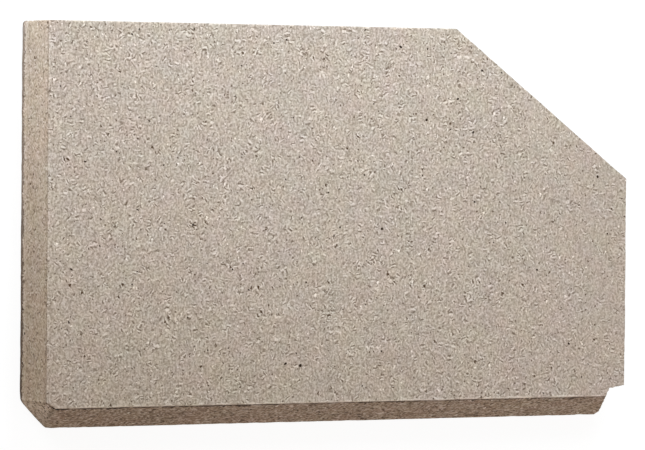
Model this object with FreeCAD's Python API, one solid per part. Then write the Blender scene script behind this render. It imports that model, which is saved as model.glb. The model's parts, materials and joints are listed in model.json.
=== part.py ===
import FreeCAD, Part
import math
import os

# Refractory firebrick: a slab of pressed vermiculite board that lines one side of a stove's firebox.
# It lies on its back face with the fire face up. +X runs from the rear end to the front end of the
# firebox, +Y from the foot to the top edge, and the origin is on the back face, in the middle of the
# board's length and height. All sizes are in millimetres and all angles in degrees.

# The board
LENGTH = 300.0
HEIGHT = 176.5
THICKNESS = 25.0

# The foot is sawn on a slope, so that the fire face stops short of the back face by this much
FOOT_BEVEL_RUN = 10.0

# The corner sawn off below the baffle: along the top edge, and down the front end
BAFFLE_CUT_LENGTH = 93.0
BAFFLE_CUT_DROP = 67.0

# The heel corner is sawn off at 45 degrees, square to the faces. This is its leg on the fire face.
HEEL_CUT = 2.5

# Handling has dulled every sawn edge to about this radius
ARRIS_RADIUS = 0.8

# A corner of the fire face has broken away at the front end of the foot. The break leans out
# towards the front end as it goes deeper, so the back face keeps its corner.
BREAK_HEIGHT_AT_END = 5.1
BREAK_HEIGHT_INSIDE = 3.7
BREAK_WIDTH_AT_TOP = 8.9
BREAK_WIDTH_AT_FOOT = 10.7
BREAK_LEAN = 34.0

# How far a cutting tool runs past the surface that it cuts
OVERRUN = 5.0

rear_end = -LENGTH / 2
front_end = LENGTH / 2
back_foot = -HEIGHT / 2
top_edge = HEIGHT / 2
face_foot = back_foot + FOOT_BEVEL_RUN


def flat_face(corners):
    """A plane face with these corners."""
    points = [FreeCAD.Vector(*corner) for corner in corners]
    return Part.Face(Part.makePolygon(points + points[:1]))


def board():
    """The board with its sloping foot: one section, run from the rear end to the front end."""
    section = flat_face([
        (rear_end, back_foot, 0),
        (rear_end, top_edge, 0),
        (rear_end, top_edge, THICKNESS),
        (rear_end, face_foot, THICKNESS),
    ])
    return section.extrude(FreeCAD.Vector(LENGTH, 0, 0))


def corner_saw(corner_x, corner_y, along_x, along_y):
    """The waste of a straight cut square to the faces, which crosses the corner's two edges at
    these signed distances from it. The cut's line runs on past both edges."""
    run_on = OVERRUN / min(abs(along_x), abs(along_y))
    past_x = corner_x - along_x * run_on
    past_y = corner_y - along_y * run_on
    waste = flat_face([
        (past_x, past_y, -OVERRUN),
        (corner_x + along_x * (1 + run_on), past_y, -OVERRUN),
        (past_x, corner_y + along_y * (1 + run_on), -OVERRUN),
    ])
    return waste.extrude(FreeCAD.Vector(0, 0, THICKNESS + 2 * OVERRUN))


def broken_corner():
    """The piece that is missing from the fire face: its outline there, carried down along the lean."""
    # Both lines of the outline are carried on past the edges of the brick.
    roof_slope = (BREAK_HEIGHT_AT_END - BREAK_HEIGHT_INSIDE) / BREAK_WIDTH_AT_TOP
    wall_slope = (BREAK_WIDTH_AT_FOOT - BREAK_WIDTH_AT_TOP) / BREAK_HEIGHT_INSIDE
    below = FOOT_BEVEL_RUN + OVERRUN
    outside = front_end + OVERRUN
    outline = flat_face([
        (outside, face_foot + BREAK_HEIGHT_AT_END + OVERRUN * roof_slope, THICKNESS),
        (front_end - BREAK_WIDTH_AT_TOP, face_foot + BREAK_HEIGHT_INSIDE, THICKNESS),
        (front_end - BREAK_WIDTH_AT_FOOT - below * wall_slope, face_foot - below, THICKNESS),
        (outside, face_foot - below, THICKNESS),
    ])
    lean = math.tan(math.radians(BREAK_LEAN))
    down = FreeCAD.Vector(lean, 0, -1)
    outline.translate(down * -OVERRUN)
    return outline.extrude(down * (THICKNESS + 2 * OVERRUN))


def firebrick():
    """The board with both corners sawn off, its edges dulled, and then its one broken corner."""
    # The heel cut is square to the faces, so on the longer back face its leg grows by the bevel.
    heel = HEEL_CUT + FOOT_BEVEL_RUN
    brick = board()
    brick = brick.cut(corner_saw(front_end, top_edge, -BAFFLE_CUT_LENGTH, -BAFFLE_CUT_DROP))
    brick = brick.cut(corner_saw(rear_end, back_foot, heel, heel))
    brick = brick.makeFillet(ARRIS_RADIUS, brick.Edges)
    return brick.cut(broken_corner())


def single_solid(shape):
    """The one valid solid that a shape holds."""
    if len(shape.Solids) != 1 or not shape.isValid():
        raise ValueError(f"expected one valid solid, found {len(shape.Solids)}")
    return shape.Solids[0]


def main():
    brick = single_solid(firebrick())
    os.makedirs("parts", exist_ok=True)
    brick.exportStep("parts/firebrick.step")
    box = brick.BoundBox
    print(f"firebrick {box.XLength:.2f} x {box.YLength:.2f} x {box.ZLength:.2f} mm")
    print(f"volume {brick.Volume:.0f} mm3")


main()
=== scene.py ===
import json
import math

import bpy
from mathutils import Matrix, Vector


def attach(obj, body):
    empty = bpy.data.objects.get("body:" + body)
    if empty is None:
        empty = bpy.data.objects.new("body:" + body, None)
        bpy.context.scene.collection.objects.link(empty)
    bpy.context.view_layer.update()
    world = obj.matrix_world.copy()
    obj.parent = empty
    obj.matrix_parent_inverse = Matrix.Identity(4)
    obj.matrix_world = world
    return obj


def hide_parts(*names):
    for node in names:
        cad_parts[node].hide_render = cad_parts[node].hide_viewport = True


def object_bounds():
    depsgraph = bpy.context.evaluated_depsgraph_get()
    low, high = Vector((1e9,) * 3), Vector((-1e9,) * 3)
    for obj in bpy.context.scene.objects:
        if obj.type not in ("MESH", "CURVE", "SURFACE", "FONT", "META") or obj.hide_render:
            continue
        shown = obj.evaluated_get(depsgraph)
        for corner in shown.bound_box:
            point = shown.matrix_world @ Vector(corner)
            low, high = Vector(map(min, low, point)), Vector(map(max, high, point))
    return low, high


# The looks of a refractory firebrick: a slab of pressed vermiculite board, sawn to shape for the side
# of a stove's firebox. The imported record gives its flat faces. This script gives it a body with worn
# arrises, nicks, pits and a rough break, and the flecked finish of the board.
# Sizes are in metres, angles in degrees and colours in linear light. The brick lies as its solid does:
# fire face up (+Z), top edge towards +Y, front end towards +X. A mark's pair of values says where it
# begins and where it is full.

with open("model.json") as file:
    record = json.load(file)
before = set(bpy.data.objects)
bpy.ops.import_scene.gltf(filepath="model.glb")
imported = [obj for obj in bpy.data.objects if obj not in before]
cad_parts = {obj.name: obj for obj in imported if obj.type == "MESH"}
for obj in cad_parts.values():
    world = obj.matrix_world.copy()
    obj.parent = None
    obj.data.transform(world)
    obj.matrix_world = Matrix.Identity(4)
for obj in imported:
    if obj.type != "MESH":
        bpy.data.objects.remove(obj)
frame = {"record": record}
cad_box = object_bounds()

MM = 0.001
SEED = 7

# The photograph's camera, as fitted to the brick's straight edges
CAMERA_PLACE = (-1.17441, 0.03691, 1.94009)
CAMERA_YAW = -31.240
CAMERA_TILT = -0.937
CAMERA_ROLL = 0.460
CAMERA_LENS = 283.17
CAMERA_SENSOR = 36.0

# The lamps: where each one stands, its width, its power in watts and its colour
LAMPS = {
    "key": ((0.03, 0.34, 0.35), 0.28, 1.81, (0.83, 0.94, 1.0)),
    "rear_lamp": ((-0.48, 0.34, 0.13), 0.20, 1.68, (0.86, 0.935, 1.0)),
    "front_lamp": ((0.50, -0.40, 0.22), 0.30, 0.47, (1.0, 1.0, 1.0)),
}

# The light of the room, and the backdrop that the camera sees in its place
ROOM_COLOUR = (0.465, 0.394, 0.342, 1)
BACKDROP_COLOUR = (1, 1, 1, 1)

# The floor: its width, the colour that it gives back to the brick, and the glow and the thin coat that
# the camera sees instead, of which the coat takes the shadow
FLOOR_WIDTH = 8.0
FLOOR_COLOUR = (0.6, 0.59, 0.58, 1)
FLOOR_GLOW = (0.89, 0.89, 0.89, 1)
FLOOR_COAT = (0.18, 0.194, 0.207, 1)

# The heel corner, which is sawn off at 45 degrees and is no mount: its leg on the back face
HEEL_LEG = 12.5 * MM

# The fire face's corner above the heel cut is worn off on a slant: along the rear end, along the
# foot, and how deep the wear reaches
HEEL_WEAR_REAR = 2.6 * MM
HEEL_WEAR_FOOT = 4.3 * MM
HEEL_WEAR_DEPTH = 8.0 * MM

# The corner that broke off the fire face at the front end of the foot, and its rough surface
BREAK_HEIGHT_AT_END = 5.1 * MM
BREAK_HEIGHT_INSIDE = 3.7 * MM
BREAK_WIDTH_AT_TOP = 8.9 * MM
BREAK_WIDTH_AT_FOOT = 10.7 * MM
BREAK_LEAN = 34.0
BREAK_CELLS = 64
BREAK_ROUGHNESS = 0.9 * MM
BREAK_GRAIN = 2.4 * MM

# The body's grid: cells along the length, the height and the thickness, and how much they crowd
# towards the arrises
COLUMNS = 296
ROWS = 174
LAYERS = 26
CROWDING = 1.25

# Worn arrises: the least and the most that handling has rounded them, how long the patches are, the
# noise that goes from the least to the most, and the passes that rounding a corner takes
ARRIS_RADIUS_LEAST = 0.2 * MM
ARRIS_RADIUS_MOST = 0.9 * MM
ARRIS_PATCH = 9.0 * MM
ARRIS_NOISE = (0.3, 0.8)
ROUNDING_PASSES = 2

# The upright arrises that are worn more than the rest: how much rounder, how far that reaches from the
# corner, and how deep under the fire face it sets in
WORN_CORNERS = {
    ("rear_end", "top_edge"): 0.9 * MM,
    ("rear_end", "heel_cut"): 0.45 * MM,
    ("heel_cut", "foot_bevel"): 0.45 * MM,
}
CORNER_REACH = (3.5 * MM, 0.0)
CORNER_DEPTH = (1.0 * MM, 9.0 * MM)

# Relief of the faces: how deep its hollows are, how wide, and how much the pressing flattened them
RELIEF_DEPTH = 0.09 * MM
RELIEF_WIDTH = 5.0 * MM
PRESSING = 1.15

# The plain part of the back face is one flat polygon, this far inside its arrises
BACK_RIM = 4.0 * MM

# Points that are nearer than this touch
TOUCHING = 0.001 * MM

# A surface whose normal has a lower Z than this belongs to the back face
BACK_FACING = -0.5

# Pits where a grain came out of a face, and nicks where an arris is worn by more than NICK_WEAR: how
# many to the square metre at most, how far apart, from which to which radius, and how much a lump that
# came out was stretched each way
PIT_DENSITY = 2300.0
PIT_SPACING = 3.5 * MM
PIT_RADIUS = (0.3 * MM, 0.66 * MM)
NICK_DENSITY = 26000.0
NICK_SPACING = 3.2 * MM
NICK_RADIUS = (0.25 * MM, 0.95 * MM)
NICK_WEAR = 0.06 * MM
LUMP_STRETCH = (0.4, 1.4)

# Edges that turn by more than this are shaded sharp
SHARP_ANGLE = 38.0

# How deep under its plane a face still has its own finish
PRESSED_SKIN = (0.6 * MM, 0.2 * MM)
SAWN_SKIN = (1.2 * MM, 0.4 * MM)

# The granules: their width, and how far they are bent. Their leaves: the usual spacing, the least count
# for each spacing and what chance adds to it, how many spacings chance shifts them by, and how readily
# they stand across each axis
GRANULE_WIDTH = 1.8 * MM
GRANULE_BEND = 1.8 * MM
LEAF_SPACING = 1.6 * MM
LEAF_COUNT_LEAST = 0.7
LEAF_COUNT_CHANCE = 0.6
LEAF_SHIFT = 7.0
LEAF_STANCE = (1.7, 1, 0.6)

# How much the saw has drawn the granules out along the foot
FOOT_DRAW = 0.25

# The flecks: how strong the leaves are, what the bolder ones add, the width and strength of the fine
# and the coarse grain between them, and what the sawn sides lose and gain
LEAF_STRENGTH = 0.49
BOLD_STRENGTH = 1.1
BOLD_CHANCE = (0.7, 1.0)
FINE_GRAIN = 0.95 * MM
FINE_STRENGTH = 2.9
COARSE_GRAIN = 2.6 * MM
COARSE_PRESSING = 1.4
COARSE_STRENGTH = 0.35
SAWN_LEAF_LOSS = 0.3
SAWN_COARSE_GAIN = 1.8

# How much more contrast the flecks have than on the fire face, how much they fade towards the front
# end, which share of that the foot has, and how far from the end it begins
SAWN_CONTRAST = 0.15
EDGEWISE_CONTRAST = 0.25
BROKEN_CONTRAST = 0.6
FRONT_FADING = 0.2
FRONT_FADING_ON_FOOT = 0.5
FRONT_REACH = (0.075, 0.01)

# The relief of the flecks, which is more on the break
FLECK_RELIEF = 0.08 * MM
FLECK_RELIEF_STRENGTH = 0.5
BROKEN_RELIEF_GAIN = 1.5

# The colours between the flecks
PRESSED_GROUND = (0.505, 0.4345, 0.371, 1)
SAWN_GROUND = (0.524, 0.43, 0.34, 1)
FOOT_GROUND = (0.373, 0.275, 0.201, 1)
HEEL_GROUND = (0.66, 0.55, 0.44, 1)
BROKEN_GROUND = (0.57, 0.475, 0.37, 1)

# The leaves' colours, the shades at which they are full, and how much of the ground they then hide
PALE_LEAF = (0.868, 0.792, 0.722, 1)
PALE_SHADE = (0.0, 1.6)
PALE_COVER = 0.85
SAWN_PALE_LOSS = 0.2
HEEL_PALE_GAIN = 0.15
DARK_LEAF = (0.138, 0.10, 0.066, 1)
DARK_SHADE = (0.0, -1.82)
DARK_COVER = 0.95

# What the gaps between leaves that are cut edgewise absorb
GAP_STAIN = (0.6, 0.64, 0.68)

# The specks in the middle of some granules: their edge in widths of a granule, how much larger a few of
# them are, and the chances of a burnt one and of a painted glint, a pale speck of painted highlight
SPECK_EDGE = (0.26, 0.12)
LARGE_SPECK_GROWTH = 0.12
LARGE_SPECK_CHANCE = (0.945, 0.96)
BURNT_SPECK = (0.075, 0.04, 0.017, 1)
BURNT_CHANCE = (0.75, 0.77)
# The glint is a painted highlight
PAINTED_GLINT = (0.96, 0.875, 0.79, 1)
PAINTED_GLINT_CHANCE = (0.14, 0.11)
SPECK_COVER = 0.95

# The pale crumbs of worn arrises, and the painted shade inside a pit
CRUMB = (0.78, 0.70, 0.61, 1)
CRUMB_WIDTH = (0.9 * MM, 0.3 * MM)
CRUMB_PATCH = (0.0, 0.12)
CRUMB_COVER = 0.5
PIT_PAINTED_SHADE = (0.05, 0.03, 0.016, 1)
PIT_SHADE_COVER = 0.95

# The noises that several marks share: how wide each one is
RAGGED_WIDTH = 5.0 * MM
PATCH_WIDTH = 2.2 * MM
STRETCH_WIDTH = 14.0 * MM

# A painted highlight along the lip of the fire face above the foot: its width, how ragged it is and how pale
LIP_HIGHLIGHT_WIDTH = (0.8 * MM, 0.4 * MM)
LIP_HIGHLIGHT_RAGGEDNESS = 2.8 * MM
LIP_HIGHLIGHT_TONE = 1.4

# Soot and painted shade, which spread from the heel corner: how far, what they absorb, and how much of them
# each face holds
SOOT_AND_SHADE_REACH = 0.17
SOOT_AND_SHADE_STAIN = (0.7, 0.8, 0.95)
SOOT_AND_SHADE_ON_PRESSED = 0.09
SOOT_AND_SHADE_ON_REAR = 0.38
SOOT_AND_SHADE_ON_FOOT = 0.08

# Painted shade on the lower part of the fire face: how far it reaches above the foot, and where it fades
# towards the front end
LOW_SHADE_REACH = (0.09, 0.0)
LOW_SHADE_FRONT = (0.04, 0.16)
LOW_SHADE_STAIN = (0.09, 0.093, 0.118)

# Painted shadow under the lip of the fire face: how deep it reaches, how uneven that is with the
# patches, the ragged noise and the flecks, and how much each side holds
UNDER_LIP_SHADOW_DEPTH = (2.1 * MM, 1.2 * MM)
UNDER_LIP_SHADOW_UNEVEN = (4.0 * MM, 3.0 * MM, 0.3 * MM)
UNDER_LIP_SHADOW_STAIN = (0.82, 0.86, 0.89)
UNDER_LIP_SHADOW_ON_FOOT = 0.3
UNDER_LIP_SHADOW_ON_FOOT_STRETCHES = 0.7
UNDER_LIP_SHADOW_STRETCHES = (-0.2, 0.1)
UNDER_LIP_SHADOW_HEEL_GAIN = 0.3
UNDER_LIP_SHADOW_ON_HEEL = 0.5
UNDER_LIP_SHADOW_ON_REAR = 0.25

# The dark seam between the heel cut and the foot, in its upper part
SEAM_WIDTH = (1.1 * MM, 0.4 * MM)
SEAM_DEPTH = (15.0 * MM, 6.0 * MM)
SEAM_STAIN = (0.36, 0.3825, 0.405)

# The heel cut is dirtier away from the rear end
HEEL_DIRT_REACH = (1.0 * MM, 11.0 * MM)
HEEL_STAIN = (0.216, 0.228, 0.24)

# A painted contact shadow, a dark band along the bottom of the rear end where it meets the floor, and a
# paler band
# above it: how high they reach, and how uneven that is with the patches, the stretches and the flecks
CONTACT_SHADE_HEIGHT = (3.2 * MM, 1.9 * MM)
PALE_BAND_HEIGHT = (6.0 * MM, 4.4 * MM)
CONTACT_SHADE_UNEVEN = (3.0 * MM, 2.0 * MM, 0.5 * MM)
PALE_BAND_TONE = 0.55
CONTACT_SHADE_STAIN = (0.9, 0.94, 0.96)
CONTACT_SHADE_STRENGTH = 0.55
CONTACT_SHADE_HEEL_GAIN = 0.3

# How the board varies in tint, and between warm and cool
TINT_WIDTH = 12.0 * MM
TINT_STRENGTH = 0.12
WARM_STRENGTH = (0.05, 0, -0.08)
WARM_PATCHES = 0.7

# How matt the board is
ROUGHNESS = 0.92
SPECULAR_LEVEL = 0.25


class Field:
    """A value in a node tree: a socket with arithmetic, where each operator adds the node that does it."""

    def __init__(self, graph, socket):
        self.graph = graph
        self.socket = socket

    def output(self, name):
        """Another output of the node that this value comes from."""
        return Field(self.graph, find_socket(self.socket.node.outputs, name))

    def __add__(self, other):
        return self.graph.math("ADD", self, other)

    def __radd__(self, other):
        return self.graph.math("ADD", other, self)

    def __sub__(self, other):
        return self.graph.math("SUBTRACT", self, other)

    def __rsub__(self, other):
        return self.graph.math("SUBTRACT", other, self)

    def __mul__(self, other):
        return self.graph.math("MULTIPLY", self, other)

    def __rmul__(self, other):
        return self.graph.math("MULTIPLY", other, self)

    def __truediv__(self, other):
        return self.graph.math("DIVIDE", self, other)

    def __rtruediv__(self, other):
        return self.graph.math("DIVIDE", other, self)

    def __pow__(self, other):
        return self.graph.math("POWER", self, other)


class Graph:
    """A node tree that is being built."""

    def __init__(self, tree):
        self.tree = tree

    def node(self, kind, settings=None, sockets=None):
        """Adds a node, with its settings first and then the values or links of its sockets, and gives
        its first output in use."""
        node = self.tree.nodes.new(kind)
        for name, setting in (settings or {}).items():
            setattr(node, name, setting)
        for name, value in (sockets or {}).items():
            self.feed(find_socket(node.inputs, name), value)
        outputs = [socket for socket in node.outputs if socket.enabled]
        return Field(self, outputs[0]) if outputs else None

    def feed(self, socket, value):
        """Links a socket to a value of the tree, to several of them in turn, or sets it."""
        if isinstance(value, Field):
            self.tree.links.new(value.socket, socket)
        elif isinstance(value, list):
            for item in value:
                self.feed(socket, item)
        elif socket.type == "VECTOR" and isinstance(value, (int, float)):
            socket.default_value = (value, value, value)
        else:
            socket.default_value = value

    def math(self, operation, *values):
        """A Math node, or a Vector Math node where one of the values is a vector."""
        kind = "ShaderNodeVectorMath" if any(is_vector(value) for value in values) else "ShaderNodeMath"
        return self.node(kind, {"operation": operation}, dict(enumerate(values)))

    def least(self, values):
        """The least of several values."""
        smallest, *others = values
        for value in others:
            smallest = self.math("MINIMUM", smallest, value)
        return smallest

    def length(self, vector):
        return self.math("LENGTH", vector)

    def smooth_step(self, value, start, end):
        """Rises smoothly from 0 to 1 as the value goes from start to end."""
        sockets = {"Value": value, "From Min": start, "From Max": end}
        return self.node("ShaderNodeMapRange", {"interpolation_type": "SMOOTHSTEP"}, sockets)

    def ramp(self, value, start, end):
        """Rises evenly from 0 to 1 as the value goes from start to end."""
        return self.node("ShaderNodeMapRange", sockets={"Value": value, "From Min": start, "From Max": end})

    def xyz(self, vector):
        """The three coordinates of a vector."""
        x = self.node("ShaderNodeSeparateXYZ", sockets={"Vector": vector})
        return x, x.output("Y"), x.output("Z")

    def vector(self, x, y, z):
        return self.node("ShaderNodeCombineXYZ", sockets={"X": x, "Y": y, "Z": z})

    def noise(self, place, width, detail=0.0, roughness=0.5):
        """Smooth noise about 0.5, with hollows of about this width. Its output Color is three of them."""
        sockets = {"Vector": place, "Scale": 1 / width, "Detail": detail, "Roughness": roughness}
        return self.node("ShaderNodeTexNoise", sockets=sockets)

    def attribute(self, name):
        """A number that the mesh holds under this name."""
        return self.node("ShaderNodeAttribute", {"attribute_name": name}).output("Fac")

    def mix_colours(self, factor, first, second):
        sockets = {"Factor": factor, "A": first, "B": second}
        return self.node("ShaderNodeMix", {"data_type": "RGBA"}, sockets).output("Result")


def find_socket(sockets, key):
    """The socket in use with this place, name or identifier."""
    if isinstance(key, int):
        return sockets[key]
    return next(s for s in sockets if s.enabled and key in (s.identifier, s.name))


def is_vector(value):
    """Whether a value has several parts: a vector, or a colour as it comes out of a texture."""
    if isinstance(value, Field):
        return value.socket.type in ("VECTOR", "RGBA")
    return isinstance(value, (tuple, Vector))


def empty_graph(owner):
    """The graph of a material or a world, with nothing in it."""
    owner.use_nodes = True
    owner.node_tree.nodes.clear()
    return Graph(owner.node_tree)


def add_object(name, data):
    """A new object of the scene with this mesh, lamp or camera."""
    thing = bpy.data.objects.new(name, data)
    bpy.context.scene.collection.objects.link(thing)
    return thing


def flat_faces():
    """The brick's flat faces by name, each as its outward normal and its distance from the origin."""
    faces = {}
    for mount in frame["record"]["mounts"]:
        normal = Vector(mount["axis"]).normalized()
        faces[mount["name"]] = normal, normal.dot(Vector(mount["pos_m"]))
    faces["heel_cut"] = heel_cut(faces)
    faces["heel_wear"] = heel_wear(faces)
    return faces


def foot_line(faces, z):
    """The Y of the sawn foot at a height above the back face."""
    normal, distance = faces["foot_bevel"]
    return (distance - normal.z * z) / normal.y


def heel_cut(faces):
    """The plane of the corner that is sawn off at 45 degrees."""
    rear_end = -faces["rear_end"][1]
    normal = Vector((-1, -1, 0)).normalized()
    return normal, normal.dot(Vector((rear_end + HEEL_LEG, foot_line(faces, 0.0), 0)))


def heel_wear(faces):
    """The plane that wear has given the fire face's corner above the heel cut."""
    rear_end = -faces["rear_end"][1]
    thickness = faces["fire_face"][1]
    heel_normal, heel_distance = faces["heel_cut"]
    face_foot = foot_line(faces, thickness)
    low = thickness - HEEL_WEAR_DEPTH
    low_foot = foot_line(faces, low)
    low_heel = (heel_distance - heel_normal.y * low_foot) / heel_normal.x
    on_rear = Vector((rear_end, face_foot + HEEL_WEAR_REAR, thickness))
    on_foot = Vector((rear_end + HEEL_WEAR_FOOT, face_foot, thickness))
    below = Vector((low_heel, low_foot, low))
    normal = (below - on_foot).cross(on_foot - on_rear).normalized()
    return normal, normal.dot(on_foot)


def depth_under(graph, place, face):
    """How deep a place lies under the plane of a flat face."""
    normal, distance = face
    return distance - graph.math("DOT_PRODUCT", place, normal)


def height_limit(graph, x, z, faces, side):
    """Where a line along Y, at this x and z, leaves the brick: upwards for side 1, downwards for -1."""
    least_slope = 0.01
    limit = None
    for normal, distance in faces.values():
        if normal.y * side > least_slope:
            y = (distance - normal.x * x - normal.z * z) / normal.y
            limit = graph.math("MINIMUM" if side > 0 else "MAXIMUM", limit, y) if limit else y
    return limit


def crowded(graph, t):
    """Spreads even steps from -1 to 1 so that they crowd towards both ends."""
    reach = 1 - (1 - graph.math("ABSOLUTE", t)) ** CROWDING
    return graph.math("SIGN", t) * reach


def sharp_body(graph, faces, columns, rows, layers):
    """A closed grid over the brick's form, with sharp arrises."""
    counts = {"Size": (2, 2, 2), "Vertices X": columns, "Vertices Y": rows, "Vertices Z": layers}
    cube = graph.node("GeometryNodeMeshCube", sockets=counts)
    u, v, w = graph.xyz(graph.node("GeometryNodeInputPosition"))
    half_length = faces["front_end"][1]
    half_thickness = faces["fire_face"][1] / 2
    x = half_length * crowded(graph, u)
    z = half_thickness * (1 + crowded(graph, w))
    low = height_limit(graph, x, z, faces, -1)
    high = height_limit(graph, x, z, faces, 1)
    y = low + (high - low) * (1 + crowded(graph, v)) / 2
    place = {"Geometry": cube, "Position": graph.vector(x, y, z)}
    return graph.node("GeometryNodeSetPosition", sockets=place)


def rounded(graph, place, faces, radius):
    """The place on the brick with its arrises rounded, for a place on the sharp one. The place is first
    drawn into a brick that is smaller by the radius all round, and then pushed out by the radius."""
    inner = place
    for _ in range(ROUNDING_PASSES):
        for normal, distance in faces.values():
            over = graph.math("DOT_PRODUCT", inner, normal) - (distance - radius)
            inner = inner - graph.math("MAXIMUM", over, 0.0) * normal
    return inner + graph.math("NORMALIZE", place - inner) * radius


def worn_body(graph, body, faces, seed):
    """The body with its arrises worn unevenly, most of all at some corners. The attribute worn says
    how far each point was moved."""
    place = graph.node("GeometryNodeInputPosition")
    patches = graph.noise(place + seed, ARRIS_PATCH, detail=3.0, roughness=0.6)
    share = graph.smooth_step(patches, *ARRIS_NOISE)
    radius = ARRIS_RADIUS_LEAST + (ARRIS_RADIUS_MOST - ARRIS_RADIUS_LEAST) * share
    below_face = graph.smooth_step(depth_under(graph, place, faces["fire_face"]), *CORNER_DEPTH)
    for names, more in WORN_CORNERS.items():
        depths = [depth_under(graph, place, faces[name]) for name in names]
        near = graph.smooth_step(graph.math("MAXIMUM", *depths), *CORNER_REACH)
        radius = radius + more * near * below_face
    target = rounded(graph, place, faces, radius)
    moved = {"Geometry": body, "Name": "worn", "Value": graph.length(target - place)}
    body = graph.node("GeometryNodeStoreNamedAttribute", {"data_type": "FLOAT"}, moved)
    return graph.node("GeometryNodeSetPosition", sockets={"Geometry": body, "Position": target})


def uneven_faces(graph, body, seed):
    """The body with shallow hollows in its faces, a little flattened on the sawn sides. The back face
    stays flat."""
    place = graph.node("GeometryNodeInputPosition")
    z = graph.xyz(place)[2]
    layered = place * (1, 1, PRESSING) + seed
    hollow = graph.noise(layered, RELIEF_WIDTH, detail=2.0, roughness=0.65)
    above_floor = graph.smooth_step(z, 0.0, BACK_RIM / 2)
    inward = graph.node("GeometryNodeInputNormal") * (hollow * above_floor * -RELIEF_DEPTH)
    return graph.node("GeometryNodeSetPosition", sockets={"Geometry": body, "Offset": inward})


def plain_back(graph, body, faces):
    """The body with the flat middle of its back face made one polygon."""
    place = graph.node("GeometryNodeInputPosition")
    sides = [face for name, face in faces.items() if name not in ("back_face", "fire_face")]
    margin = graph.least(depth_under(graph, place, side) for side in sides)
    z = graph.xyz(place)[2]
    middle = graph.math("GREATER_THAN", margin, BACK_RIM) * graph.math("LESS_THAN", z, TOUCHING)
    cut = {"Geometry": body, "Selection": middle}
    opened = graph.node("GeometryNodeDeleteGeometry", {"domain": "FACE"}, cut)
    faces_at_edge = graph.node("GeometryNodeInputMeshEdgeNeighbors")
    rim = {"Mesh": opened, "Selection": graph.math("LESS_THAN", faces_at_edge, 2)}
    loop = graph.node("GeometryNodeMeshToCurve", sockets=rim)
    patch = graph.node("GeometryNodeFillCurve", sockets={"Curve": loop})
    patch = graph.node("GeometryNodeFlipFaces", sockets={"Mesh": patch})
    joined = graph.node("GeometryNodeJoinGeometry", sockets={"Geometry": [opened, patch]})
    return graph.node("GeometryNodeMergeByDistance", sockets={"Geometry": joined, "Distance": TOUCHING})


def marked(graph, piece, attribute):
    """A piece whose faces hold 1 under this name, which the surfaces that it cuts then keep."""
    mark = {"Geometry": piece, "Name": attribute, "Value": 1.0}
    return graph.node("GeometryNodeStoreNamedAttribute", {"data_type": "FLOAT", "domain": "FACE"}, mark)


def lumps(graph, points, radius, seed, attribute):
    """An irregular lump at each point, with a random size, stretch and turn."""
    lump = graph.node("GeometryNodeMeshIcoSphere", sockets={"Radius": 1.0, "Subdivisions": 2})
    size = {"Min": radius[0], "Max": radius[1], "Seed": seed}
    least, most = LUMP_STRETCH
    stretch = {"Min": (least, least, least), "Max": (most, most, most), "Seed": seed + 1}
    turn = {"Min": (0, 0, 0), "Max": (math.tau, math.tau, math.tau), "Seed": seed + 2}
    vectors = {"data_type": "FLOAT_VECTOR"}
    scale = graph.node("FunctionNodeRandomValue", vectors, stretch)
    scale = scale * graph.node("FunctionNodeRandomValue", {"data_type": "FLOAT"}, size)
    sockets = {"Points": points, "Instance": lump, "Scale": scale}
    sockets["Rotation"] = graph.node("FunctionNodeRandomValue", vectors, turn)
    placed = graph.node("GeometryNodeInstanceOnPoints", sockets=sockets)
    placed = graph.node("GeometryNodeRealizeInstances", sockets={"Geometry": placed})
    return marked(graph, placed, attribute)


def scattered(graph, body, density, spacing, factor, seed):
    """Random points on the body, where the factor is 1."""
    sockets = {"Mesh": body, "Distance Min": spacing, "Density Max": density, "Density Factor": factor}
    sockets["Seed"] = seed
    return graph.node("GeometryNodeDistributePointsOnFaces", {"distribute_method": "POISSON"}, sockets)


def pits(graph, body, seed):
    """The grains that came out of the fire face and the sawn sides."""
    normal_z = graph.xyz(graph.node("GeometryNodeInputNormal"))[2]
    off_the_back = graph.math("GREATER_THAN", normal_z, BACK_FACING)
    points = scattered(graph, body, PIT_DENSITY, PIT_SPACING, off_the_back, seed)
    return lumps(graph, points, PIT_RADIUS, seed, "pit")


def nicks(graph, body, seed):
    """The crumbs that came off the arrises."""
    worn = {"Name": "worn"}
    worn = graph.node("GeometryNodeInputNamedAttribute", {"data_type": "FLOAT"}, worn)
    on_arris = graph.math("GREATER_THAN", worn, NICK_WEAR)
    points = scattered(graph, body, NICK_DENSITY, NICK_SPACING, on_arris, seed)
    return lumps(graph, points, NICK_RADIUS, seed, "broken")


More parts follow.
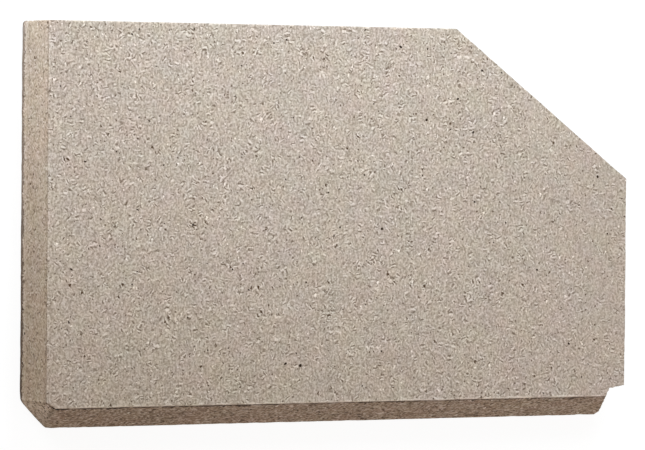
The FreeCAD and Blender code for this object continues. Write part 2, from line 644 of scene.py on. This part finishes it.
def broken_corner(graph, faces, seed):
    """The rough-sided piece that broke off the fire face at the front end of the foot."""
    front_end = faces["front_end"][1]
    thickness = faces["fire_face"][1]
    face_foot = foot_line(faces, thickness)
    reach = BREAK_WIDTH_AT_FOOT
    roof_slope = (BREAK_HEIGHT_AT_END - BREAK_HEIGHT_INSIDE) / BREAK_WIDTH_AT_TOP
    wall_slope = (BREAK_WIDTH_AT_FOOT - BREAK_WIDTH_AT_TOP) / BREAK_HEIGHT_INSIDE
    lean = math.tan(math.radians(BREAK_LEAN))

    cells = {name: BREAK_CELLS for name in ("Vertices X", "Vertices Y", "Vertices Z")}
    cube = graph.node("GeometryNodeMeshCube", sockets={"Size": (1, 1, 1), **cells})
    u, v, w = graph.xyz(graph.node("GeometryNodeInputPosition") + 0.5)
    below = 2 * reach * (1 - v)
    wall = front_end - BREAK_WIDTH_AT_TOP - wall_slope * below
    x = wall + u * (front_end + reach - wall)
    roof = face_foot + BREAK_HEIGHT_INSIDE + roof_slope * (x - front_end + BREAK_WIDTH_AT_TOP)
    z = w * (thickness + 2 * reach) - reach
    place = graph.vector(x + lean * (thickness - z), roof - below, z)
    rough = graph.noise(place + seed, BREAK_GRAIN, detail=3.0, roughness=0.6).output("Color")
    place = place + (rough - 0.5) * (2 * BREAK_ROUGHNESS)
    piece = graph.node("GeometryNodeSetPosition", sockets={"Geometry": cube, "Position": place})
    return marked(graph, piece, "broken")


def brick_tree(faces):
    """The Geometry Nodes tree that makes the worn brick."""
    tree = bpy.data.node_groups.new("worn_firebrick", "GeometryNodeTree")
    tree.interface.new_socket("Geometry", in_out="OUTPUT", socket_type="NodeSocketGeometry")
    for name in ("Columns", "Rows", "Layers", "Seed"):
        tree.interface.new_socket(name, in_out="INPUT", socket_type="NodeSocketInt")
    tree.interface.new_socket("Material", in_out="INPUT", socket_type="NodeSocketMaterial")
    graph = Graph(tree)
    columns = graph.node("NodeGroupInput")
    rows, layers, seed, material = (columns.output(name) for name in ("Rows", "Layers", "Seed", "Material"))
    body = sharp_body(graph, faces, columns, rows, layers)
    body = worn_body(graph, body, faces, seed)
    body = uneven_faces(graph, body, seed)
    body = plain_back(graph, body, faces)
    lost = [pits(graph, body, seed), nicks(graph, body, seed + 10), broken_corner(graph, faces, seed)]
    cut = {"Mesh 1": body, "Mesh 2": lost}
    body = graph.node("GeometryNodeMeshBoolean", {"operation": "DIFFERENCE", "solver": "MANIFOLD"}, cut)
    body = graph.node("GeometryNodeSetShadeSmooth", sockets={"Geometry": body, "Shade Smooth": True})
    body = graph.node("GeometryNodeRealizeInstances", sockets={"Geometry": body})
    body = graph.node("GeometryNodeSetMaterial", sockets={"Geometry": body, "Material": material})
    graph.node("NodeGroupOutput", sockets={"Geometry": body})
    return tree


def make_firebrick(faces, material):
    """The worn brick as a plain mesh object."""
    tree = brick_tree(faces)
    maker = add_object("worn_firebrick_maker", bpy.data.meshes.new("worn_firebrick_maker"))
    modifier = maker.modifiers.new("worn_firebrick", "NODES")
    modifier.node_group = tree
    inputs = {
        "Columns": COLUMNS + 1,
        "Rows": ROWS + 1,
        "Layers": LAYERS + 1,
        "Seed": SEED,
        "Material": material,
    }
    for item in tree.interface.items_tree:
        if item.in_out == "INPUT":
            modifier[item.identifier] = inputs[item.name]
    evaluated = maker.evaluated_get(bpy.context.evaluated_depsgraph_get())
    mesh = bpy.data.meshes.new_from_object(evaluated)
    bpy.data.objects.remove(maker)
    mesh.name = "worn_firebrick"
    mesh.set_sharp_from_angle(angle=math.radians(SHARP_ANGLE))
    return add_object("worn_firebrick", mesh)


class Board:
    """The board as its material sees it: how deep a place lies under each flat face, how much it has of
    each face's finish and how much soot and painted shade it has near the heel, from 0 to 1, and the noises
    that several marks share, about 0."""

    def __init__(self, graph, faces):
        place = graph.node("ShaderNodeTexCoord").output("Object")
        depths = {name: depth_under(graph, place, face) for name, face in faces.items()}
        self.place = place
        self.depths = depths
        self.face_depth = depths.pop("fire_face")
        self.back_depth = depths.pop("back_face")
        self.pressed_depth = graph.math("MINIMUM", self.face_depth, self.back_depth)
        self.sawn_depth = graph.least(depths.values())
        self.heel_depth = graph.math("MINIMUM", depths["heel_cut"], depths["heel_wear"])

        self.pressed = graph.smooth_step(self.pressed_depth, *PRESSED_SKIN)
        self.sawn = 1 - self.pressed
        self.foot = graph.smooth_step(depths["foot_bevel"], *SAWN_SKIN)
        self.heel = graph.smooth_step(self.heel_depth, *SAWN_SKIN)
        self.rear = graph.smooth_step(depths["rear_end"], *SAWN_SKIN)
        self.sawn_foot = self.foot * self.sawn
        self.sawn_heel = self.heel * self.sawn
        self.edgewise = graph.math("MAXIMUM", self.foot, self.heel) * self.sawn
        self.broken = graph.attribute("broken")
        self.pit = graph.attribute("pit")

        self.ragged = graph.noise(place, RAGGED_WIDTH, detail=3.0, roughness=0.7) - 0.5
        self.patches = graph.noise(place, PATCH_WIDTH, detail=2.0) - 0.5
        self.stretches = graph.noise(place, STRETCH_WIDTH, detail=2.0) - 0.5
        heel_corner = Vector((-faces["rear_end"][1], cad_box[0].y, 0))
        # Nearness to the heel corner: real soot there, and partly painted shade
        self.soot_and_shade = graph.smooth_step(graph.length(place - heel_corner), SOOT_AND_SHADE_REACH, 0.0)


def granules(graph, place):
    """The expanded granules of the board. Gives their leaves seen edge on, as stripes from -1 to 1 that
    lie across a direction of each granule's own, three random numbers for each granule, and the
    distance from its middle in widths."""
    waver = graph.noise(place, GRANULE_WIDTH, detail=1.0).output("Color")
    bent = place + (waver - 0.5) * GRANULE_BEND
    middle = graph.node("ShaderNodeTexVoronoi", sockets={"Vector": bent, "Scale": 1 / GRANULE_WIDTH})
    chances = graph.xyz(middle.output("Color"))
    lie = middle.output("Color") - 0.5
    across = graph.math("NORMALIZE", lie * graph.math("ABSOLUTE", lie) * LEAF_STANCE)
    count = graph.math("DOT_PRODUCT", bent, across) / LEAF_SPACING
    count = count * (LEAF_COUNT_LEAST + LEAF_COUNT_CHANCE * chances[2])
    leaves = graph.math("SINE", (count + LEAF_SHIFT * chances[0]) * math.tau)
    return leaves, chances, middle


def flecks(graph, board):
    """The flecks of the board: their tone, dark below 0 and pale above it, the random numbers of their
    granules and the distance from the granule's middle."""
    on_foot = graph.math("GREATER_THAN", board.sawn_foot, 0.5)
    layered = board.place * (1, 1, PRESSING) * (1 - on_foot * (FOOT_DRAW, 0, 0))
    leaves, chances, middle = granules(graph, layered)
    fine = graph.noise(layered, FINE_GRAIN, detail=1.0) - 0.5
    coarse = graph.noise(layered * (1, 1, COARSE_PRESSING), COARSE_GRAIN, detail=2.0) - 0.5
    strength = LEAF_STRENGTH + BOLD_STRENGTH * graph.smooth_step(chances[1], *BOLD_CHANCE)
    tone = leaves * strength * (1 - SAWN_LEAF_LOSS * board.sawn) + fine * FINE_STRENGTH
    tone = tone + coarse * (COARSE_STRENGTH + SAWN_COARSE_GAIN * board.sawn)
    contrast = 1 + SAWN_CONTRAST * board.sawn + EDGEWISE_CONTRAST * board.edgewise
    contrast = contrast + BROKEN_CONTRAST * board.broken
    near_front = graph.smooth_step(board.depths["front_end"], *FRONT_REACH)
    near_front = near_front * (board.pressed + FRONT_FADING_ON_FOOT * board.sawn_foot)
    return tone * (contrast - FRONT_FADING * near_front), chances, middle


def uneven(depth, noises, amounts):
    """A depth that several noises each move up and down by their own amount."""
    for noise, amount in zip(noises, amounts):
        depth = depth + noise * amount
    return depth


def stained(colour, amount, absorbed):
    """A colour under a stain that absorbs this share of its red, green and blue where it is full."""
    return colour * (1 - amount * absorbed)


def fleck_colours(graph, board, shade):
    """The ground of each face, with pale and dark leaves on it."""
    ground = graph.mix_colours(board.pressed, SAWN_GROUND, PRESSED_GROUND)
    ground = graph.mix_colours(board.sawn_foot, ground, FOOT_GROUND)
    ground = graph.mix_colours(board.sawn_heel, ground, HEEL_GROUND)
    ground = graph.mix_colours(board.broken, ground, BROKEN_GROUND)
    pale = graph.ramp(shade, *PALE_SHADE)
    dark = graph.ramp(shade, *DARK_SHADE)
    cover = PALE_COVER - SAWN_PALE_LOSS * board.sawn + HEEL_PALE_GAIN * (board.edgewise - board.sawn_foot)
    colour = graph.mix_colours(pale * cover, ground, PALE_LEAF)
    colour = graph.mix_colours(dark * DARK_COVER, colour, DARK_LEAF)
    return stained(colour, dark * board.edgewise, GAP_STAIN)


def specked(graph, colour, chances, middle):
    """The colour with a burnt speck or a painted glint, a painted highlight, in the middle of some granules.
    """
    growth = LARGE_SPECK_GROWTH * graph.smooth_step(chances[1], *LARGE_SPECK_CHANCE)
    speck = graph.smooth_step(middle - growth, *SPECK_EDGE)
    burnt = speck * graph.smooth_step(chances[0], *BURNT_CHANCE)
    colour = graph.mix_colours(burnt * SPECK_COVER, colour, BURNT_SPECK)
    # Painted highlight: pale glints in some granules
    painted_glint = speck * graph.smooth_step(chances[0], *PAINTED_GLINT_CHANCE)
    return graph.mix_colours(painted_glint * SPECK_COVER, colour, PAINTED_GLINT)


def crumbled(graph, board, colour):
    """The colour with pale crumbs along the arrises."""
    arris = graph.math("MAXIMUM", board.pressed_depth, board.sawn_depth)
    crumbs = graph.smooth_step(arris, *CRUMB_WIDTH) * graph.smooth_step(board.patches, *CRUMB_PATCH)
    return graph.mix_colours(crumbs * CRUMB_COVER, colour, CRUMB)


def sooted_and_shaded(graph, board, colour):
    """The colour under the soot and painted shade that spread from the heel, and with painted shade low on
    the fire face.
    """
    on_sides = board.sawn * (SOOT_AND_SHADE_ON_REAR * board.rear + SOOT_AND_SHADE_ON_FOOT * board.foot)
    # Soot and painted shade, strongest on the rear end near the heel
    colour = stained(colour, board.soot_and_shade * (SOOT_AND_SHADE_ON_PRESSED * board.pressed + on_sides), SOOT_AND_SHADE_STAIN)
    # Painted shade: the fire face darker towards the foot, fading towards the front end
    low_shade = graph.ramp(board.depths["foot_bevel"], *LOW_SHADE_REACH) ** 2
    low_shade = low_shade * graph.ramp(board.depths["front_end"], *LOW_SHADE_FRONT)
    return stained(colour, low_shade * board.pressed, LOW_SHADE_STAIN)


def shadowed_and_dirtied(graph, board, colour, tone):
    """The colour with painted shadow under the lip of the fire face, and with the dirt of the heel."""
    # Painted shadow under the lip of the fire face, on the foot, the heel cut and the rear end
    depth = uneven(board.face_depth, (board.patches, board.ragged, tone), UNDER_LIP_SHADOW_UNEVEN)
    under_lip_shadow = board.sawn * graph.smooth_step(depth, *UNDER_LIP_SHADOW_DEPTH)
    stretches = graph.ramp(board.stretches + UNDER_LIP_SHADOW_HEEL_GAIN * board.soot_and_shade, *UNDER_LIP_SHADOW_STRETCHES)
    shadow_share = board.foot * (UNDER_LIP_SHADOW_ON_FOOT + UNDER_LIP_SHADOW_ON_FOOT_STRETCHES * stretches)
    shadow_share = shadow_share + UNDER_LIP_SHADOW_ON_HEEL * board.heel + UNDER_LIP_SHADOW_ON_REAR * board.rear
    colour = stained(colour, under_lip_shadow * shadow_share, UNDER_LIP_SHADOW_STAIN)

    seam = graph.math("MAXIMUM", board.heel_depth, board.depths["foot_bevel"])
    seam = graph.smooth_step(seam, *SEAM_WIDTH) * graph.smooth_step(board.face_depth, *SEAM_DEPTH)
    colour = stained(colour, seam * board.sawn, SEAM_STAIN)
    far_heel = board.sawn_heel * graph.smooth_step(board.depths["rear_end"], *HEEL_DIRT_REACH)
    return stained(colour, far_heel, HEEL_STAIN)


def tinted(graph, board, colour):
    """The colour with the board's drift in tint, and between warm and cool."""
    tints = graph.noise(board.place, TINT_WIDTH, detail=4.0, roughness=0.6).output("Color") - 0.5
    warmth = board.stretches + WARM_PATCHES * board.patches
    return colour * (1 + tints * TINT_STRENGTH + warmth * WARM_STRENGTH)


def vermiculite(faces):
    """Pressed vermiculite board: pale and dark leaves of granules seen edge on, greyer on the pressed
    faces and browner on the sawn sides, with pale worn arrises, painted glints, a painted highlight along
    the lip above the foot and painted shadow under it, soot and painted shade towards the heel, painted
    shade low on the fire face, a painted contact shadow at the bottom of the rear end and painted shade in
    the pits."""
    material = bpy.data.materials.new("vermiculite")
    graph = empty_graph(material)
    board = Board(graph, faces)
    tone, chances, middle = flecks(graph, board)

    # Painted highlight along the lip of the fire face above the foot
    lip_highlight_depth = board.depths["foot_bevel"] + board.ragged * LIP_HIGHLIGHT_RAGGEDNESS
    lip_highlight = graph.smooth_step(lip_highlight_depth, *LIP_HIGHLIGHT_WIDTH) * board.pressed
    # A painted contact shadow along the bottom of the rear end, and a paler band above it
    band_height = uneven(board.back_depth, (board.patches, board.stretches, tone), CONTACT_SHADE_UNEVEN)
    pale_band = board.rear * graph.smooth_step(band_height, *PALE_BAND_HEIGHT)
    contact_shade = board.rear * graph.smooth_step(band_height, *CONTACT_SHADE_HEIGHT)

    colour = fleck_colours(graph, board, tone + LIP_HIGHLIGHT_TONE * lip_highlight + PALE_BAND_TONE * pale_band)
    colour = specked(graph, colour, chances, middle)
    colour = crumbled(graph, board, colour)
    colour = sooted_and_shaded(graph, board, colour)
    colour = shadowed_and_dirtied(graph, board, colour, tone)
    # Painted contact shadow at the bottom of the rear end
    colour = stained(colour, contact_shade * (CONTACT_SHADE_STRENGTH + CONTACT_SHADE_HEEL_GAIN * board.soot_and_shade), CONTACT_SHADE_STAIN)
    colour = tinted(graph, board, colour)
    # Painted shade inside the pits
    colour = graph.mix_colours(board.pit * PIT_SHADE_COVER, colour, PIT_PAINTED_SHADE)

    relief = {
        "Height": tone * (1 + BROKEN_RELIEF_GAIN * board.broken),
        "Distance": FLECK_RELIEF,
        "Strength": FLECK_RELIEF_STRENGTH,
    }
    shader = graph.node("ShaderNodeBsdfPrincipled", sockets={
        "Base Color": colour,
        "Roughness": ROUGHNESS,
        "Specular IOR Level": SPECULAR_LEVEL,
        "Normal": graph.node("ShaderNodeBump", sockets=relief),
    })
    graph.node("ShaderNodeOutputMaterial", sockets={"Surface": shader})
    return material


def seen_rays(graph):
    """1 for a ray from the camera, also by way of a mirror or glass, and 0 for one that gathers light."""
    rays = graph.node("ShaderNodeLightPath")
    seen = graph.math("MAXIMUM", rays.output("Is Camera Ray"), rays.output("Is Glossy Ray"))
    return graph.math("MAXIMUM", seen, rays.output("Is Transmission Ray"))


def pale_floor():
    """A pale floor that shows white to the camera and keeps a soft shadow under the brick."""
    material = bpy.data.materials.new("pale_floor")
    graph = empty_graph(material)
    pale = graph.node("ShaderNodeBsdfDiffuse", sockets={"Color": FLOOR_COLOUR})
    coat = graph.node("ShaderNodeBsdfDiffuse", sockets={"Color": FLOOR_COAT})
    glow = graph.node("ShaderNodeEmission", sockets={"Color": FLOOR_GLOW})
    shown = graph.node("ShaderNodeAddShader", sockets={0: coat, 1: glow})
    floor = graph.node("ShaderNodeMixShader", sockets={0: seen_rays(graph), 1: pale, 2: shown})
    graph.node("ShaderNodeOutputMaterial", sockets={"Surface": floor})
    return material


def make_floor():
    """A square of floor under the brick."""
    edge = FLOOR_WIDTH / 2
    corners = [(-edge, -edge, 0), (edge, -edge, 0), (edge, edge, 0), (-edge, edge, 0)]
    mesh = bpy.data.meshes.new("floor")
    mesh.from_pydata(corners, [], [(0, 1, 2, 3)])
    mesh.materials.append(pale_floor())
    floor = add_object("floor", mesh)


def make_camera():
    """The camera, which looks down on the fire face."""
    data = bpy.data.cameras.new("camera")
    data.lens = CAMERA_LENS
    data.sensor_width = CAMERA_SENSOR
    camera = add_object("camera", data)
    turn = Matrix.Rotation(math.radians(CAMERA_YAW), 4, "Y")
    turn = turn @ Matrix.Rotation(math.radians(CAMERA_TILT), 4, "X")
    turn = turn @ Matrix.Rotation(math.radians(CAMERA_ROLL), 4, "Z")
    camera.matrix_world = Matrix.Translation(CAMERA_PLACE) @ turn
    bpy.context.scene.camera = camera


def soft_light(name, place, width, power, colour):
    """A square lamp that is turned to the brick."""
    lamp = bpy.data.lights.new(name, "AREA")
    lamp.size = width
    lamp.energy = power
    lamp.color = colour
    light = add_object(name, lamp)
    light.location = place
    light.rotation_euler = (-Vector(place)).to_track_quat("-Z", "Y").to_euler()


def make_light():
    """The lamps, and a room that gives light but shows white to the camera."""
    for name, lamp in LAMPS.items():
        soft_light(name, *lamp)
    world = bpy.data.worlds.new("studio")
    graph = empty_graph(world)
    room = graph.node("ShaderNodeBackground", sockets={"Color": ROOM_COLOUR})
    backdrop = graph.node("ShaderNodeBackground", sockets={"Color": BACKDROP_COLOUR})
    sky = graph.node("ShaderNodeMixShader", sockets={0: seen_rays(graph), 1: room, 2: backdrop})
    graph.node("ShaderNodeOutputWorld", sockets={"Surface": sky})
    bpy.context.scene.world = world


def dress_frame():
    """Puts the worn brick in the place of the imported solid."""
    faces = flat_faces()
    brick = make_firebrick(faces, vermiculite(faces))
    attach(brick, "root")
    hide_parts("firebrick")


bpy.context.scene.view_settings.view_transform = "Standard"
make_camera()
make_light()
make_floor()
dress_frame()
